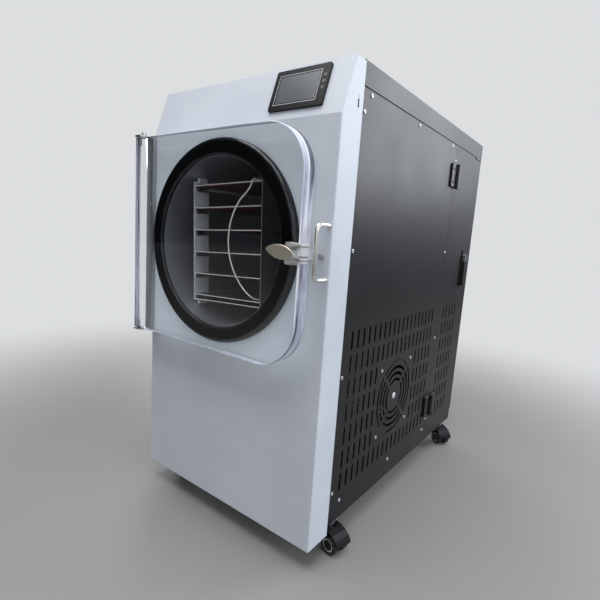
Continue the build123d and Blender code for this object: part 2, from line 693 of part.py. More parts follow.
def make_door_hinge():
    x0, x1 = -half + strip_inset, -half + strip_inset + strip_width
    z0, z1 = door_bottom - ear_gap - ear_thick, door_top + ear_gap + ear_thick
    front = -strip_front
    strip = [block(x0, x1, front, front + strip_sheet, z0, z1)]
    strip += [block(x, x + strip_sheet, front, 0, z0, z1) for x in (x0, x1 - strip_sheet)]
    for z in (z0, z1 - ear_thick):
        ear = block(door_left - ear_over, x0 + 6, door_front - ear_over, front + strip_sheet, z, z + ear_thick)
        strip.append(fillet([e for e in ear.edges().filter_by(Axis.Z) if e.center().Y < door_front], 6))
    strip = merge(strip)
    for z in (z0, z1 - ear_thick):
        strip -= rod("z", pin_radius, z - 1, ear_thick + 2, pin_x, door_mid)
    place("door_hinge_strip", strip)
    middle, x = (z0 + z1) / 2, (x0 + x1) / 2
    fittings = [rod("y", 4.5, front - 2.4, 2.4, x, z) for z in (z0 + 34, middle - 85, middle + 85, z1 - 34)]
    # the upper pin has a round knob; the lower one carries the door on a washer
    pin_length = ear_gap + ear_thick + 20
    turned = ((pin_radius, door_top - 20, pin_length), (8.0, z1, 4), (5.5, z1 + 4, 6))
    upper = [rod("z", r, z, length, pin_x, door_mid) for r, z, length in turned]
    turned = ((pin_radius, z0, pin_length), (8.0, z0 - 4, 4), (9.0, z0 + ear_thick, ear_gap))
    lower = [rod("z", r, z, length, pin_x, door_mid) for r, z, length in turned]
    place("door_hinge_fittings", joined(fittings + [merge(upper), merge(lower)]))


def make_latch():
    x, y, z = latch_pin_x, latch_pin_y, latch_z
    pin, knuckle, ear = 4.0, 11.0, 5.0
    sleeve_half = 13.2
    plate = block(x - 50, x - 17, door_front - 4, door_front, z - 25, z + 20)
    plate = fillet([e for e in plate.edges().filter_by(Axis.Y) if e.center().X < x - 40], 5)
    ears = []
    for s in (-1, 1):
        z0, z1 = sorted((z + s * (sleeve_half + 0.4), z + s * (sleeve_half + 0.4 + ear)))
        ears.append(rod("z", knuckle + 1, z0, z1 - z0, x, y) + block(x - 24, x, y - 12, door_front, z0, z1))
    base = merge([plate] + ears) - rod("z", pin, z - 30, 60, x, y)
    place("latch_base", base)
    bolts = [rod("y", 3.0, door_front, 18, x - 33, z + dz) + rod("y", 6.0, door_front - 7, 3, x - 33, z + dz)
             for dz in (-15, 15)]
    pivot = rod("z", pin, z - 20.5, 41, x, y) + rod("z", 5.5, z + sleeve_half + 0.4 + ear, 2.4, x, y)
    place("latch_pin", joined([pivot] + bolts))
    # lever: sleeve with a turned groove, leaf-shaped paddle to the left, claw to the rear
    sleeve = rod("z", knuckle, z - sleeve_half, 2 * sleeve_half, x, y)
    sleeve -= rod("z", knuckle + 1, z - 6.6, 1.4, x, y) - rod("z", knuckle - 1.8, z - 7, 3, x, y)
    front = paddle_front
    reach, wide = 39.5, 14.5
    upper = ThreePointArc((-reach, 0), (0, wide), (reach, 0))
    lower = ThreePointArc((reach, 0), (0, -wide), (-reach, 0))
    outline = make_face(upper + lower)
    outline = fillet(outline.vertices(), 3.0)
    leaf = extrude(Plane.XZ * outline, amount=3.0, dir=(0, 1, 0))
    leaf = Pos(x - 4 - reach, front, z) * Rot(0, latch_tilt, 0) * leaf
    leaf = fillet([e for e in leaf.edges() if abs(e.center().Y - front) < 0.1 and e.length > 30], 1.2)
    neck = block(x - 17, x + 2, front + 0.5, y, z - 9, z + 5)
    # the claw's toe hooks behind the keeper when the paddle is pressed home
    toe_right = keeper_x - keeper_radius - claw_short
    hook_y = -keeper_reach + keeper_radius + claw_room
    hook = [(x + 1, y + 6), (x + 5, y + 6), (x + 5, hook_y), (toe_right, hook_y), (toe_right, hook_y + 3.5),
            (x + 1, hook_y + 3.5)]
    claw = slab_xy(hook, z - 11, z + 5)
    lever = sleeve + leaf + neck + claw - rod("z", pin + running_gap, z - 30, 60, x, y)
    place("latch_lever", lever)
    spot("latch_lever", x, y, z)


def make_keeper():
    high, low = keeper_z + keeper_half, keeper_z - keeper_half
    x, out = keeper_x, -keeper_reach
    place("keeper_bar", tube([(x, 0, high), (x, out, high), (x, out, low), (x, 0, low)], keeper_radius, 12.0))
    place("claw_stop", rod("y", 5.2, -12, 12, latch_pin_x + 5, latch_z - 5.5))


# ---------------------------------------------------------------- touchscreen, port
def make_screen():
    bezel = on_slope(screen_x, screen_up, screen_proud / 2) * Box(screen_width, screen_height, screen_proud)
    bezel = fillet([e for e in bezel.edges() if abs(e.length - screen_proud) < 0.1], 4.0)
    can = on_slope(screen_x, screen_up, -12) * Box(screen_width - 18, screen_height - 18, 24.2)
    glass_x = screen_x - 3
    body = bezel + can - on_slope(glass_x, screen_up, screen_proud) * Box(glass_width, glass_height, 1.2)
    # three lamps beside the display
    for up in (20, 6, -8):
        body += on_slope(glass_x + glass_width / 2 + 13, screen_up + up, screen_proud) * Cylinder(1.9, 0.6)
    place("screen_housing", body)
    glass = on_slope(glass_x, screen_up, screen_proud - 0.3) * Box(glass_width, glass_height, 0.6)
    place("screen_glass", glass)


def make_port():
    y, z = port_back, port_z
    body = block(half - 16, half - 0.2, y - 3, y + 3, z - 7.5, z + 9.5)
    body -= block(half - 12, half + 1, y - 1.2, y + 1.2, z - 6.5, z + 3)
    body -= rod("x", 1.8, half - 6, 8, y, z + 6.4)
    carrier = block(half - 18, half - fascia_sheet, y - 7, y + 7, z - 20, z + 20)
    body += carrier - block(half - 19, half, y - 3, y + 3, z - 7.5, z + 9.5)
    place("data_port", body)


# ---------------------------------------------------------------- screws on the sides
def make_side_screws():
    front, rear = body_front + 11, side_seam - 10
    low, high = panel_bottom + 9, panel_top - 4
    rows = [(front + 26 + i * (rear - front - 68) / 2, high) for i in range(3)]
    rows += [(front + 38 + i * (rear - front - 61) / 2, low) for i in range(3)]
    first, step = panel_bottom + 43, (panel_top - panel_bottom - 85) / 3
    rows += [(y, first + i * step) for y in (front, rear) for i in range(4)]
    rows += [(fan_y + a * fan_screw, fan_z + b * fan_screw) for a in (-1, 1) for b in (-1, 1)]
    heads = []
    for s in (-1, 1):
        for y, z in rows:
            if s < 0 and hypot(y - fan_y, z - fan_z) < 160:
                continue
            x0 = s * body_half - (screw_head if s < 0 else 0)
            dome = rod("x", screw_radius, x0, screw_head, y, z)
            edge = [e for e in dome.edges() if abs(abs(e.center().X) - body_half - screw_head) < 0.1]
            heads.append(chamfer(edge, 1.2))
    heads += [rod("x", 2.2, half, 0.8, port_back, port_z + d) for d in (-16.5, 15.5)]
    for z in (first, first + 3 * step):
        heads.append(rod("x", screw_radius, -body_half - screw_head, screw_head, depth - 40, z))
    place("side_screws", joined(heads))


# ---------------------------------------------------------------- refrigeration and vacuum
def make_fan():
    x1 = inner_half - 0.5
    x0 = x1 - fan_depth
    r, wide = 92.0, 104.0
    frame = block(x0, x1, fan_y - wide, fan_y + wide, fan_z - wide, fan_z + wide)
    frame -= rod("x", r + 3, x0 - 1, 40, fan_y, fan_z)
    hub_back = rod("x", 26, x0, 10, fan_y, fan_z)
    arms = merge([Pos(x0 + 2.5, fan_y, fan_z) * Rot(a, 0, 0) * Box(5, 2 * r + 12, 7) for a in (20, 110)])
    frame += hub_back + arms
    frame += rod("x", 4.0, x0 + 9, 14, fan_y, fan_z)
    place("fan_frame", frame)
    hub = rod("x", 24, x0 + 12, 22, fan_y, fan_z)
    blades = []
    for i in range(7):
        blade = Pos(0, 0, 55) * Rot(0, 0, 32) * Box(2.0, 46, 68)
        blades.append(Pos(x0 + 23, fan_y, fan_z) * Rot(i * 360 / 7, 0, 0) * blade)
    wheel = merge([hub] + blades) & rod("x", r - 3, x0 + 11, 25, fan_y, fan_z)
    wheel -= rod("x", 4.0 + running_gap, x0 + 5, 18.2, fan_y, fan_z)
    place("fan_impeller", wheel)
    spot("fan_impeller", x0 + 20, fan_y, fan_z)
    make_condenser(x0 - 6)


def make_condenser(x1):
    """Finned coil between two end plates that stand on the floor sheet, its return bends outside them."""
    x0, top, low = x1 - coil_depth, fan_z + coil_half, panel_bottom + 16
    y0, y1 = fan_y - coil_half, fan_y + coil_half
    pieces = [block(x0 + 12, x1 - 12, y0, y1, low, top)]
    for i in range(26):
        y = y0 + i * 9.4
        pieces.append(block(x0, x1, y, y + 1.2, low, top))
    for y in (y0 - 2.5, y1):
        pieces.append(block(x0 - 2, x1 + 6, y, y + 2.5, panel_bottom, top + 6))
    for row in range(7):
        for y in (y0 - 2.5 - coil_bend, y1 + 2.5):
            pieces.append(rod("y", coil_pipe, y, coil_bend, x0 + coil_depth / 2, panel_bottom + 40 + row * 38))
    place("condenser_coil", merge(pieces))


def make_compressor():
    x, y, base = compressor_x, compressor_y, panel_bottom
    can = Pos(x, y, base + 22 + 85) * Cylinder(82, 170)
    can = fillet(can.edges(), 26)
    feet = block(x - 100, x + 100, y - 70, y + 70, base + 14, base + 24)
    pads = [rod("z", 11, base, 14, x + a * 86, y + b * 56) for a in (-1, 1) for b in (-1, 1)]
    place("compressor", merge([can, feet] + pads))
    # suction line up to the chamber's jacket
    top, line_y, jacket_x = base + 192, y + 20, drum_x - 100
    meet = drum_z - sqrt((jacket_radius + 0.3) ** 2 - (jacket_x - drum_x) ** 2) - 6
    suction = [(x - 40, line_y, top), (x - 40, line_y, top + 34), (jacket_x, line_y, top + 34),
               (jacket_x, line_y, meet)]
    # discharge line over to the sixth row of the condenser
    coil_x = inner_half - 0.5 - fan_depth - 6 - coil_depth / 2
    row_z = panel_bottom + 40 + 5 * 38
    coil_y = fan_y - coil_half - 2.5 - coil_bend
    front = coil_y - 23.5
    discharge = [(x + 40, line_y, top), (x + 40, line_y, row_z), (x + 40, front, row_z), (coil_x, front, row_z),
                 (coil_x, coil_y, row_z)]
    place("refrigerant_lines", joined([tube(suction, 6, 14), tube(discharge, coil_pipe, 14)]))


def make_pump():
    """Rotary-vane pump lying across the rear, its oil case towards the access door."""
    base = panel_bottom
    y, z = pump_y, base + 112
    foot = block(-150, 250, y - 62, y + 62, base, base + 12)
    case = block(110, 250, y - 66, y + 66, base + 12, base + 196)
    case = fillet(case.edges().filter_by(Axis.X), 14)
    motor = rod("x", 66, -150, 240, y, z)
    fins = [rod("x", 72, -120 + i * 16, 4, y, z) for i in range(11)]
    cowl = rod("x", 70, -172, 30, y, z)
    neck = block(60, 120, y - 50, y + 50, base + 12, base + 150)
    cradle = block(-140, 80, y - 44, y + 44, base + 12, z - 40)
    low, high = base + 190, base + 232
    handle = tube([(140, y, low), (140, y, high), (226, y, high), (226, y, low)], 6, 14)
    sight = rod("x", 15, 250, 5, y - 20, base + 70)
    inlet = [rod("z", 14, base + 190, 44, 84, y + 2), rod("z", 20, base + 228, 6, 84, y + 2),
             block(60, 108, y - 22, y + 26, base + 146, base + 192)]
    place("vacuum_pump", merge([foot, case, motor, neck, cowl, cradle, handle, sight] + inlet + fins))
    tail = drum_tail + 68.5
    top = base + 234.5
    path = [(drum_x, tail, drum_z), (drum_x, y + 2, drum_z), (84, y + 2, drum_z), (84, y + 2, top)]
    place("vacuum_hose", tube(path, 18, 46, 14))


def make_controls():
    """Electrical tray on the frame's top rails, under the cover."""
    z, front = frame_z, body_front + 71
    pieces = [block(-200, 200, body_front + 6, side_seam + 6, z, z + 2)]
    for s in (-1, 1):
        pieces.append(block(s * 200, s * 198, body_front + 6, side_seam + 6, z, z + 10))
    supply = block(-180, -60, front, front + 150, z + 2, z + 26)
    controller = block(-40, 60, front + 10, front + 100, z + 2, z + 24)
    relays = [block(80 + i * 34, 106 + i * 34, front + 10, front + 90, z + 2, z + 22) for i in range(3)]
    pieces += [supply, controller] + relays
    for i in range(12):
        pieces.append(block(-180 + i * 24, -160 + i * 24, front + 250, front + 286, z + 2, z + 20))
    place("control_tray", merge(pieces))


def make_power_inlet():
    """Appliance inlet and mains rocker, side by side in the rear panel."""
    x, y, z = inlet_x, depth, inlet_z
    body = block(x - 32, x + 32, y, y + 4, z - 28, z + 28)
    body += block(x - 28, x + 28, y - 26, y + 1, z - 23, z + 23)
    body -= block(x - 17, x + 17, y - 16, y + 6, z - 14, z + 14)
    pins = [block(x + dx - 1.2, x + dx + 1.2, y - 18, y - 2, z - 4, z + 4) for dx in (-8, 0, 8)]
    inlet = merge([body] + pins)
    x = rocker_x
    frame = block(x - 16, x + 16, y, y + 3, z - 20, z + 20)
    frame += block(x - 12.5, x + 12.5, y - 22, y + 1, z - 15, z + 15)
    frame -= block(x - 10, x + 10, y - 18, y + 4, z - 13.5, z + 13.5)
    axle = rod("x", 1.5, x - 11, 22, y - 6, z)
    place("power_inlet", joined([inlet, merge([frame, axle])]))
    outline = [(y - 10, z - 10.5), (y + 0.5, z - 10.5), (y + 3, z), (y + 6, z + 10.5), (y - 8, z + 10.5)]
    key = slab_yz(outline, x - 9.6, x + 9.6) - rod("x", 1.5 + running_gap, x - 11, 22, y - 6, z)
    place("rocker_key", key)
    spot("rocker_key", x, y - 6, z)
    spot("mains_inlet", inlet_x, y + 4, z)


def make_drain():
    """Drain pipe from the drum to a ball valve behind the rear panel."""
    x, z = inlet_x, drain_z
    drain_y = drum_tail - 90
    spout = drum_z - jacket_radius - 22
    low, back = spout - 44, drain_y + 60
    path = [(drum_x, drain_y, spout), (drum_x, drain_y, low), (x, drain_y, low), (x, back, low), (x, back, z),
            (x, depth - 6, z)]
    place("drain_pipe", tube(path, 9, 26))
    stem_y, spout_y = depth + 21, depth + 36
    body = rod("y", 13, depth - 6, 12, x, z) + rod("y", 15, depth + 6, 30, x, z)
    body += rod("z", 8, z + 10, 12, x, stem_y)
    body += rod("y", drain_spout, spout_y, valve_reach - 36, x, z)
    body -= rod("y", 5, depth - 10, valve_reach + 20, x, z)
    body -= rod("z", 4 + running_gap, z + 8, 20, x, stem_y)
    place("drain_valve", body)
    stem = rod("z", 4, z + 10, 16, x, stem_y) + rod("z", 7, z + 22.4, 4, x, stem_y)
    lever = block(x - 6, x + 62, stem_y - 6, stem_y + 6, z + 24, z + 27)
    lever = fillet([e for e in lever.edges().filter_by(Axis.Z) if e.center().X > x + 50], 5)
    place("drain_valve_lever", stem + lever)
    spot("drain_valve_lever", x, stem_y, z + 24)
    spot("drain_outlet", x, spout_y + 10, z)


# ---------------------------------------------------------------- casters
def caster_plate_at(x, y):
    """Top plate bolted under a base rail, with the swivel's upper race and the kingpin."""
    top, reach = caster_height, caster_plate / 2
    plate = block(x - reach, x + reach, y - reach, y + reach, top - 3, top)
    plate = fillet(plate.edges().filter_by(Axis.Z), 4)
    plate += rod("z", race_radius, top - 7, 5, x, y) + rod("z", kingpin, top - 15.5, 9, x, y)
    corner = reach - 3.8
    bolts = [rod("z", 3.0, top - 5, 2.2, x + i * corner, y + j * corner) for i in (-1, 1) for j in (-1, 1)]
    return merge([plate] + bolts)


def caster_fork():
    """Swivelling crown, with a web that comes down between the two wheels to their axle."""
    top = caster_height - 7.3
    crown = rod("z", race_radius - 1, top - 12.7, 12.7, 0, 0)
    foot, head = wheel_radius - 7, top - 9
    outline = [(-12, head), (13, head), (caster_trail + 8, wheel_radius + 5), (caster_trail + 5, foot),
               (caster_trail - 6, foot), (-9, top - 26)]
    web = slab_xz(outline, -web_half, web_half)
    axle = rod("y", axle_radius, -axle_half, 2 * axle_half, caster_trail, wheel_radius)
    pivot = rod("y", 2.2, -caster_half, 2 * caster_half, pedal_x, pedal_z)
    return merge([crown, web, axle, pivot]) - rod("z", kingpin + running_gap, top - 8.5, 20, 0, 0)


def caster_wheel(side):
    """One wheel: a rounded tyre round a hub disc that covers the axle's end."""
    inner, outer = wheel_gap / 2, caster_half
    tyre = rod("y", wheel_radius, inner, wheel_width, 0, 0)
    tyre = fillet(tyre.edges(), 3.6)
    groove = rod("y", 16.2, outer - 2.2, 3, 0, 0) - rod("y", 12.6, outer - 3, 5, 0, 0)
    tyre -= groove + rod("y", axle_radius + running_gap, inner - 1, wheel_width - 2.7, 0, 0)
    return tyre if side > 0 else Rot(0, 0, 180) * tyre


def caster_pedal():
    """Broad hood over both wheels: pressed down by its front lip, it swings about a pin in the crown."""
    tread = 2 * wheel_radius
    outline = [(-11, tread + 2), (-11, tread + 12), (12, tread + 12), (26, tread + 10)]
    # its back follows the wheels' rim: how far outside the tread, and at what angle about the axle
    for out, angle in ((8.43, 68.0), (8.94, 45.0), (8.77, 25.4), (7.95, 12.3), (5.34, 8.5), (2.37, 9.5)):
        reach = wheel_radius + out
        outline.append((caster_trail + reach * cos(radians(angle)), wheel_radius + reach * sin(radians(angle))))
    hood = slab_xz(outline, -caster_half, caster_half)
    back = [e for e in hood.edges().filter_by(Axis.Y) if e.center().X > 20 and e.center().Z > wheel_radius + 6]
    hood = fillet(back, 3.0)
    around = rod("y", wheel_radius + brake_gap, -40, 80, caster_trail - pedal_x, wheel_radius - pedal_z)
    for share in (0, 0.5, 1.0):
        hood -= Pos(pedal_x, 0, pedal_z) * Rot(0, -brake_angle * share, 0) * around
    hood -= rod("z", race_radius + 0.4, 40, 40, 0, 0)
    hood -= block(-20, 22, -web_half - 1.2, web_half + 1.2, 40, 80)
    return hood - rod("y", 2.2 + running_gap, -40, 80, pedal_x, pedal_z)


def make_casters():
    places = {"front_left": (-caster_x, caster_front_y), "front_right": (caster_x, caster_front_y),
              "rear_left": (-caster_x, caster_rear_y), "rear_right": (caster_x, caster_rear_y)}
    for tag, (x, y) in places.items():
        turn = Pos(x, y, 0) * Rot(0, 0, headings[tag])
        place("caster_fork_" + tag, turn * caster_fork())
        wheels = [Pos(caster_trail, 0, wheel_radius) * caster_wheel(side) for side in (-1, 1)]
        place("caster_wheel_" + tag, turn * joined(wheels))
        place("caster_pedal_" + tag, turn * caster_pedal())
        spot("caster_fork_" + tag, x, y, caster_height - 10)
        a = radians(headings[tag])
        for node, along, z in (("wheel_", caster_trail, wheel_radius), ("pedal_", pedal_x, pedal_z)):
            spot("caster_" + node + tag, x + along * cos(a), y + along * sin(a), z)
    place("caster_plates", joined([caster_plate_at(x, y) for x, y in places.values()]))


make_fascia()
make_chassis()
make_covers()
make_side_panels()
make_rear_panel()
make_access_door()
make_lock()
make_chamber()
make_rack()
make_door()
make_door_hinge()
make_latch()
make_keeper()
make_screen()
make_port()
make_side_screws()
make_fan()
make_compressor()
make_pump()
make_controls()
make_power_inlet()
make_drain()
make_casters()

boxes = [shape.bounding_box() for shape in parts.values()]
x_low, x_high = min(b.min.X for b in boxes), max(b.max.X for b in boxes)
y_low, y_high = min(b.min.Y for b in boxes), max(b.max.Y for b in boxes)
shift = Vector(-round((x_low + x_high) / 2, 1), -round((y_low + y_high) / 2, 1), 0)
os.makedirs("parts", exist_ok=True)
for name, shape in parts.items():
    export_step(shape.moved(Location(shift)), "parts/" + name + ".step")
print(len(parts), "parts", x_low, x_high, y_low, y_high)
print("shift", shift.X, shift.Y)
for name, where in spots.items():
    at = (where + shift) / 1000
    print(name, (round(at.X, 6), round(at.Y, 6), round(at.Z, 6)))
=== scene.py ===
import json
from math import atan, cos, hypot, pi, radians, sin

import bmesh
import bpy
from mathutils import Matrix, Vector


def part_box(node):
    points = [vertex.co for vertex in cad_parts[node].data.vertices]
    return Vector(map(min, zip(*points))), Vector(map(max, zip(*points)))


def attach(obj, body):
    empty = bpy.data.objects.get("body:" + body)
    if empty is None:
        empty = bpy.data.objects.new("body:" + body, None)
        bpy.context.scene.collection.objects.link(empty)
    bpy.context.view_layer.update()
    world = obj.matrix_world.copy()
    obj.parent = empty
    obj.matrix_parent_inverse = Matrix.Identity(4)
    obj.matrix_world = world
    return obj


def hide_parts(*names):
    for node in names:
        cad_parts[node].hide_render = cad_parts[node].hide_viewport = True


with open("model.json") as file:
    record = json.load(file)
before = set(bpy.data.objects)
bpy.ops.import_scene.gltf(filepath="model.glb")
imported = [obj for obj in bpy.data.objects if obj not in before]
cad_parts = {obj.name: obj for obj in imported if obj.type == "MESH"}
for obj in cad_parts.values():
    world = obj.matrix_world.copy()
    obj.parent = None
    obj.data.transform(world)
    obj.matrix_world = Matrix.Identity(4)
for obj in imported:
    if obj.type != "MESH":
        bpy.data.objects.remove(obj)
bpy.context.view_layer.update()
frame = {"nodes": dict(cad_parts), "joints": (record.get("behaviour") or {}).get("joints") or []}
nodes = frame["nodes"]
joints = {joint["name"]: joint for joint in frame["joints"]}
mm = 0.001
print("frame loaded:", len(nodes), "nodes")


def hexLinear(code, alpha=1.0):
    # sRGB hex to the linear colour that the shaders want
    channels = [int(code[i:i + 2], 16) / 255 for i in (0, 2, 4)]
    return [c / 12.92 if c <= 0.04045 else ((c + 0.055) / 1.055) ** 2.4 for c in channels] + [alpha]


def addNode(tree, kind, settings=None, links=None):
    # settings go to a socket of that name or number, or else to the node itself
    node = tree.nodes.new(kind)
    for name, value in (settings or {}).items():
        if isinstance(name, str) and name not in node.inputs:
            setattr(node, name, value)
        else:
            node.inputs[name].default_value = value
    for name, source in (links or {}).items():
        tree.links.new(source, node.inputs[name])
    return node


def startMaterial(name, **sockets):
    # a material with one Principled shader; returns material, tree, shader and the object coordinates
    material = bpy.data.materials.new(name)
    material.use_nodes = True
    tree = material.node_tree
    shader = tree.nodes["Principled BSDF"]
    for socket, value in sockets.items():
        shader.inputs[socket.replace("_", " ")].default_value = value
    coords = addNode(tree, "ShaderNodeTexCoord").outputs["Object"]
    return material, tree, shader, coords


def perMetre(sizeMm):
    # a noise or wave scale whose features are about this many millimetres across
    return 1000.0 / sizeMm


def roughnessBetween(tree, shader, source, low, high):
    spread = addNode(tree, "ShaderNodeMapRange", {"To Min": low, "To Max": high}, {"Value": source})
    tree.links.new(spread.outputs["Result"], shader.inputs["Roughness"])


def bumpFrom(tree, shader, source, strength, depthMm, edgeMm=0.8):
    # fine relief over edges that are rounded by edgeMm, so that they catch the light
    edge = addNode(tree, "ShaderNodeBevel", {"samples": 4, "Radius": edgeMm * mm})
    bump = addNode(tree, "ShaderNodeBump", {"Strength": strength, "Distance": depthMm * mm},
                   {"Height": source, "Normal": edge.outputs["Normal"]})
    tree.links.new(bump.outputs["Normal"], shader.inputs["Normal"])
    return bump


def colourBetween(tree, shader, source, lowHex, highHex, fromMin=0.0, fromMax=1.0):
    ramp = addNode(tree, "ShaderNodeValToRGB", links={"Fac": source})
    ramp.color_ramp.elements[0].position = fromMin
    ramp.color_ramp.elements[1].position = fromMax
    ramp.color_ramp.elements[0].color = hexLinear(lowHex)
    ramp.color_ramp.elements[1].color = hexLinear(highHex)
    tree.links.new(ramp.outputs["Color"], shader.inputs["Base Color"])
    return ramp


powderCoats = {
    "fascia": dict(light="CDD2DA", dark="C3C9D2", grain=1.6, cloud=160, depth=0.02, smooth=0.36, rough=0.48,
                   specular=0.28),
    "body": dict(light="101012", dark="0C0C0E", grain=1.1, cloud=160, depth=0.07, smooth=0.3, rough=0.44,
                 specular=0.24),
}


def powderCoat(name, facts):
    # polyester powder baked on steel sheet: an even colour with a fine orange-peel surface
    material, tree, shader, coords = startMaterial(name, Specular_IOR_Level=facts["specular"])
    peel = addNode(tree, "ShaderNodeTexNoise", {"Scale": perMetre(facts["grain"]), "Detail": 3.0},
                   {"Vector": coords})
    broad = addNode(tree, "ShaderNodeTexNoise", {"Scale": perMetre(facts["cloud"]), "Detail": 2.0},
                    {"Vector": coords})
    colourBetween(tree, shader, broad.outputs["Fac"], facts["dark"], facts["light"], 0.3, 0.7)
    roughnessBetween(tree, shader, broad.outputs["Fac"], facts["smooth"], facts["rough"])
    bumpFrom(tree, shader, peel.outputs["Fac"], 0.6, facts["depth"])
    return material


def satinStainless(name, colour="B4B4B3", along=(1, 1, 14), smooth=0.24, rough=0.36, metal=1.0):
    # stainless sheet: the mill's fine lengthwise grain breaks up the shine
    material, tree, shader, coords = startMaterial(name, Metallic=metal)
    grain = addNode(tree, "ShaderNodeMapping", {"Scale": [1.0 / a for a in along]}, {"Vector": coords})
    lines = addNode(tree, "ShaderNodeTexNoise", {"Scale": perMetre(1.6), "Detail": 6.0, "Roughness": 0.7},
                    {"Vector": grain.outputs["Vector"]})
    colourBetween(tree, shader, lines.outputs["Fac"], colour, "D2D2D1", 0.2, 0.85)
    roughnessBetween(tree, shader, lines.outputs["Fac"], smooth, rough)
    bumpFrom(tree, shader, lines.outputs["Fac"], 0.2, 0.02, 0.5)
    return material


def zincPlate(name, colour="A6A9AC", gloss="CFD2D4"):
    # bright zinc plate on pressed steel: slightly cloudy
    material, tree, shader, coords = startMaterial(name, Metallic=1.0)
    cloud = addNode(tree, "ShaderNodeTexNoise", {"Scale": perMetre(6), "Detail": 4.0}, {"Vector": coords})
    colourBetween(tree, shader, cloud.outputs["Fac"], colour, gloss, 0.3, 0.7)
    roughnessBetween(tree, shader, cloud.outputs["Fac"], 0.2, 0.36)
    bumpFrom(tree, shader, cloud.outputs["Fac"], 0.1, 0.05, 0.5)
    return material


def mouldedRubber(name, colour="0B0B0C", light="151517", smooth=0.16, rough=0.32):
    # silicone or nitrile rubber out of a polished mould: dark, with soft wide highlights
    material, tree, shader, coords = startMaterial(name, Specular_IOR_Level=0.5)
    skin = addNode(tree, "ShaderNodeTexNoise", {"Scale": perMetre(30), "Detail": 4.0}, {"Vector": coords})
    colourBetween(tree, shader, skin.outputs["Fac"], colour, light, 0.3, 0.7)
    roughnessBetween(tree, shader, skin.outputs["Fac"], smooth, rough)
    bumpFrom(tree, shader, skin.outputs["Fac"], 0.2, 0.3)
    return material


def grainedNylon(name, colour="08080A", light="0E0E10", grain=0.8, smooth=0.3, rough=0.45):
    # glass-filled nylon moulding with a spark-eroded grain: black and dull, with no sharp highlight
    material, tree, shader, coords = startMaterial(name, Specular_IOR_Level=0.3)
    grainNoise = addNode(tree, "ShaderNodeTexNoise", {"Scale": perMetre(grain), "Detail": 2.0},
                         {"Vector": coords})
    colourBetween(tree, shader, grainNoise.outputs["Fac"], colour, light, 0.3, 0.7)
    roughnessBetween(tree, shader, grainNoise.outputs["Fac"], smooth, rough)
    bumpFrom(tree, shader, grainNoise.outputs["Fac"], 0.4, 0.05)
    return material


def clearAcrylic(name):
    # cast acrylic sheet: water-clear, and its shadow is only a faint tint
    material, tree, shader, coords = startMaterial(name, Transmission_Weight=1.0, IOR=1.49, Roughness=0.0)
    shader.inputs["Base Color"].default_value = hexLinear("F8FBFC")
    passing = addNode(tree, "ShaderNodeBsdfTransparent", {"Color": hexLinear("F4F7F8")})
    path = addNode(tree, "ShaderNodeLightPath")
    mixed = addNode(tree, "ShaderNodeMixShader",
                    links={0: path.outputs["Is Shadow Ray"], 1: shader.outputs[0], 2: passing.outputs[0]})
    tree.links.new(mixed.outputs[0], tree.nodes["Material Output"].inputs["Surface"])
    return material


def acrylicEdgeHighlight(name):
    # the sheet's flame-polished edge, drawn opaque with long pale streaks down its length: a painted
    # highlight for the room's light that the edge pipes
    material, tree, shader, coords = startMaterial(name, Roughness=0.06, IOR=1.49)
    drawn = addNode(tree, "ShaderNodeMapping", {"Scale": (0.06, 1.0, 0.06)}, {"Vector": coords})
    streaks = addNode(tree, "ShaderNodeTexNoise", {"Scale": perMetre(13), "Detail": 3.0, "Roughness": 0.62},
                      {"Vector": drawn.outputs["Vector"]})
    ramp = colourBetween(tree, shader, streaks.outputs["Fac"], "5E6170", "FFFFFF", 0.38, 0.68)
    middle = ramp.color_ramp.elements.new(0.5)
    middle.color = hexLinear("C3C6DA")
    bumpFrom(tree, shader, streaks.outputs["Fac"], 0.15, 0.2, 1.0)
    return material


def evenSurface(name, dark, light, featureMm, smooth, rough, depthMm=0.1, **sockets):
    # a plain moulded, painted or drawn surface: two close tones and an uneven gloss
    material, tree, shader, coords = startMaterial(name, **sockets)
    noise = addNode(tree, "ShaderNodeTexNoise", {"Scale": perMetre(featureMm), "Detail": 4.0},
                    {"Vector": coords})
    colourBetween(tree, shader, noise.outputs["Fac"], dark, light, 0.3, 0.7)
    roughnessBetween(tree, shader, noise.outputs["Fac"], smooth, rough)
    bumpFrom(tree, shader, noise.outputs["Fac"], 0.3, depthMm)
    return material


